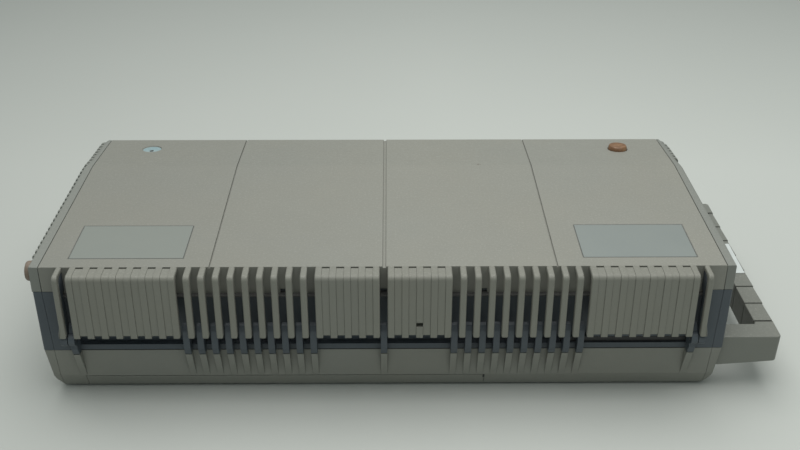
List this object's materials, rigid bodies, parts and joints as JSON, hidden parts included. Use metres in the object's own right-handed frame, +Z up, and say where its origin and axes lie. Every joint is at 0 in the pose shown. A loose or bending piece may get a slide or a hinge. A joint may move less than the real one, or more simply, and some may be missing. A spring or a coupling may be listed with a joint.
{
  "type": "vintage luggable computer",
  "caption": "Closed briefcase-shaped luggable computer: slatted hinge along the front, keyboard under the lid, tilting flat screen, slide-out carrying handle.",
  "frame": {"origin": "middle of the base between its ends, level with the base's underside, on which it rests through 2 mm feet", "axes": "+X along the long side towards the handle; +Y from the hinge side to the rear; +Z up"},
  "size_m": [0.495, 0.23, 0.1001],
  "materials": {
    "lid_plastic": "fine moulded grain, warm grey, slightly yellowed",
    "base_plastic": "fine moulded grain, warm grey",
    "dark_plastic": "fine moulded grain, blue-black grey",
    "handle_plastic": "smooth moulded, light grey",
    "key_light": "matt key caps, light",
    "key_dark": "matt key caps, dark",
    "bezel_plastic": "fine moulded grain",
    "nameplate_metal": "fine brushed foil",
    "foot_rubber": "aged brown rubber, copper tint",
    "black_rubber": "matt",
    "steel": "bare pressed steel",
    "zinc_screw": "zinc plated",
    "board": "green board with black chips",
    "lcd": "grey-green liquid crystal panel",
    "cell": "shrink sleeve",
    "speaker_steel": "black frame",
    "socket_metal": "nickel shells",
    "lamp": "tinted lens",
    "drive_metal": "pressed housing",
    "tray_plastic": "plain"
  },
  "bodies": {
    "main_unit": {"mid_shell": "dark_plastic", "mid_cap_left": "dark_plastic", "mid_cap_right": "dark_plastic", "base_shell": "base_plastic", "base_cap_left": "base_plastic", "base_cap_right": "base_plastic", "hinge_pins": "steel", "battery_tray": "tray_plastic", "battery_cells": "cell", "drive_units": "drive_metal", "drive_bezels": "base_plastic", "main_board": "board", "modem_board": "board", "speaker": "speaker_steel", "rear_panel": "steel", "rear_sockets": "socket_metal", "indicator_lamps": "lamp", "base_feet": "black_rubber", "end_feet_rear": "foot_rubber", "case_screws": "zinc_screw"},
    "lid": {"lid_shell": "lid_plastic", "lid_cap_left": "lid_plastic", "lid_cap_right": "lid_plastic", "nameplates": "nameplate_metal", "lid_foot": "foot_rubber", "end_foot_front": "foot_rubber", "keyboard_bezel": "bezel_plastic", "key_plate": "steel", "keyboard_circuit": "board", "hinge_arms": "dark_plastic"},
    "screen": {"screen_back": "dark_plastic", "screen_bezel": "dark_plastic", "lcd_glass": "lcd", "screen_pins": "steel"},
    "handle": {"handle": "handle_plastic"},
    "battery_cover": {"battery_cover": "base_plastic"},
    "drive_button_a": {"drive_button_a": "key_light"},
    "drive_button_b": {"drive_button_b": "key_light"},
    "power_switch": {"power_switch": "key_light"},
    "contrast_wheel": {"contrast_wheel": "key_dark"},
    "volume_wheel": {"volume_wheel": "key_dark"},
    "lid_catch_left": {"lid_catch_left": "dark_plastic"},
    "lid_catch_right": {"lid_catch_right": "dark_plastic"},
    "keys_number_row": {"keys_number_row": "key_light"},
    "keys_upper_row": {"keys_upper_row": "key_light"},
    "keys_home_row": {"keys_home_row": "key_light"},
    "keys_lower_row": {"keys_lower_row": "key_light"},
    "key_space": {"key_space": "key_light"},
    "keys_number_pad": {"keys_number_pad": "key_light"},
    "key_escape": {"key_escape": "key_dark"},
    "keys_function": {"keys_function": "key_dark"},
    "keys_system": {"keys_system": "key_dark"},
    "key_backspace": {"key_backspace": "key_dark"},
    "key_enter": {"key_enter": "key_dark"},
    "key_shift_left": {"key_shift_left": "key_dark"},
    "key_shift_right": {"key_shift_right": "key_dark"},
    "keys_control_row": {"keys_control_row": "key_dark"},
    "keys_editing": {"keys_editing": "key_dark"},
    "keys_cursor": {"keys_cursor": "key_dark"}
  },
  "joints": [
    {"name": "lid_hinge", "type": "hinge", "parent": "main_unit", "child": "lid", "pos_m": [0, -0.109, 0.05], "axis": [1, 0, 0], "range_deg": [0, 180]},
    {"name": "screen_tilt", "type": "hinge", "parent": "main_unit", "child": "screen", "pos_m": [-0.07, -0.07, 0.0666], "axis": [1, 0, 0], "range_deg": [0, 70]},
    {"name": "handle_slide", "type": "slide", "parent": "main_unit", "child": "handle", "axis": [1, 0, 0], "range_m": [-0.0385, 0]},
    {"name": "battery_cover_slide", "type": "slide", "parent": "main_unit", "child": "battery_cover", "axis": [0, -1, 0], "range_m": [0, 0.0045]},
    {"name": "drive_button_a_press", "type": "slide", "parent": "main_unit", "child": "drive_button_a", "axis": [-1, 0, 0], "range_m": [0, 0.0028], "stiffness_N_per_m": 300},
    {"name": "drive_button_b_press", "type": "slide", "parent": "main_unit", "child": "drive_button_b", "axis": [-1, 0, 0], "range_m": [0, 0.0028], "stiffness_N_per_m": 300},
    {"name": "power_switch_slide", "type": "slide", "parent": "main_unit", "child": "power_switch", "axis": [1, 0, 0], "range_m": [0, 0.006]},
    {"name": "contrast_wheel_turn", "type": "hinge", "parent": "main_unit", "child": "contrast_wheel", "pos_m": [-0.08, 0.082, 0.068], "axis": [1, 0, 0], "range_deg": [-135, 135]},
    {"name": "volume_wheel_turn", "type": "hinge", "parent": "main_unit", "child": "volume_wheel", "pos_m": [-0.05, 0.082, 0.068], "axis": [1, 0, 0], "range_deg": [-135, 135]},
    {"name": "lid_catch_left_slide", "type": "slide", "parent": "lid", "child": "lid_catch_left", "axis": [1, 0, 0], "range_m": [0, 0.006]},
    {"name": "lid_catch_right_slide", "type": "slide", "parent": "lid", "child": "lid_catch_right", "axis": [1, 0, 0], "range_m": [0, 0.006]},
    {"name": "keys_number_row_press", "type": "slide", "parent": "lid", "child": "keys_number_row", "axis": [0, 0, 1], "range_m": [0, 0.0032], "stiffness_N_per_m": 220},
    {"name": "keys_upper_row_press", "type": "slide", "parent": "lid", "child": "keys_upper_row", "axis": [0, 0, 1], "range_m": [0, 0.0032], "stiffness_N_per_m": 220},
    {"name": "keys_home_row_press", "type": "slide", "parent": "lid", "child": "keys_home_row", "axis": [0, 0, 1], "range_m": [0, 0.0032], "stiffness_N_per_m": 220},
    {"name": "keys_lower_row_press", "type": "slide", "parent": "lid", "child": "keys_lower_row", "axis": [0, 0, 1], "range_m": [0, 0.0032], "stiffness_N_per_m": 220},
    {"name": "key_space_press", "type": "slide", "parent": "lid", "child": "key_space", "axis": [0, 0, 1], "range_m": [0, 0.0032], "stiffness_N_per_m": 220},
    {"name": "keys_number_pad_press", "type": "slide", "parent": "lid", "child": "keys_number_pad", "axis": [0, 0, 1], "range_m": [0, 0.0032], "stiffness_N_per_m": 220},
    {"name": "key_escape_press", "type": "slide", "parent": "lid", "child": "key_escape", "axis": [0, 0, 1], "range_m": [0, 0.0032], "stiffness_N_per_m": 220},
    {"name": "keys_function_press", "type": "slide", "parent": "lid", "child": "keys_function", "axis": [0, 0, 1], "range_m": [0, 0.0032], "stiffness_N_per_m": 220},
    {"name": "keys_system_press", "type": "slide", "parent": "lid", "child": "keys_system", "axis": [0, 0, 1], "range_m": [0, 0.0032], "stiffness_N_per_m": 220},
    {"name": "key_backspace_press", "type": "slide", "parent": "lid", "child": "key_backspace", "axis": [0, 0, 1], "range_m": [0, 0.0032], "stiffness_N_per_m": 220},
    {"name": "key_enter_press", "type": "slide", "parent": "lid", "child": "key_enter", "axis": [0, 0, 1], "range_m": [0, 0.0032], "stiffness_N_per_m": 220},
    {"name": "key_shift_left_press", "type": "slide", "parent": "lid", "child": "key_shift_left", "axis": [0, 0, 1], "range_m": [0, 0.0032], "stiffness_N_per_m": 220},
    {"name": "key_shift_right_press", "type": "slide", "parent": "lid", "child": "key_shift_right", "axis": [0, 0, 1], "range_m": [0, 0.0032], "stiffness_N_per_m": 220},
    {"name": "keys_control_row_press", "type": "slide", "parent": "lid", "child": "keys_control_row", "axis": [0, 0, 1], "range_m": [0, 0.0032], "stiffness_N_per_m": 220},
    {"name": "keys_editing_press", "type": "slide", "parent": "lid", "child": "keys_editing", "axis": [0, 0, 1], "range_m": [0, 0.0032], "stiffness_N_per_m": 220},
    {"name": "keys_cursor_press", "type": "slide", "parent": "lid", "child": "keys_cursor", "axis": [0, 0, 1], "range_m": [0, 0.0032], "stiffness_N_per_m": 220}
  ],
  "couplings": [
    {"joint": "screen_tilt", "follows": "lid_hinge", "ratio": 0.3888}
  ]
}
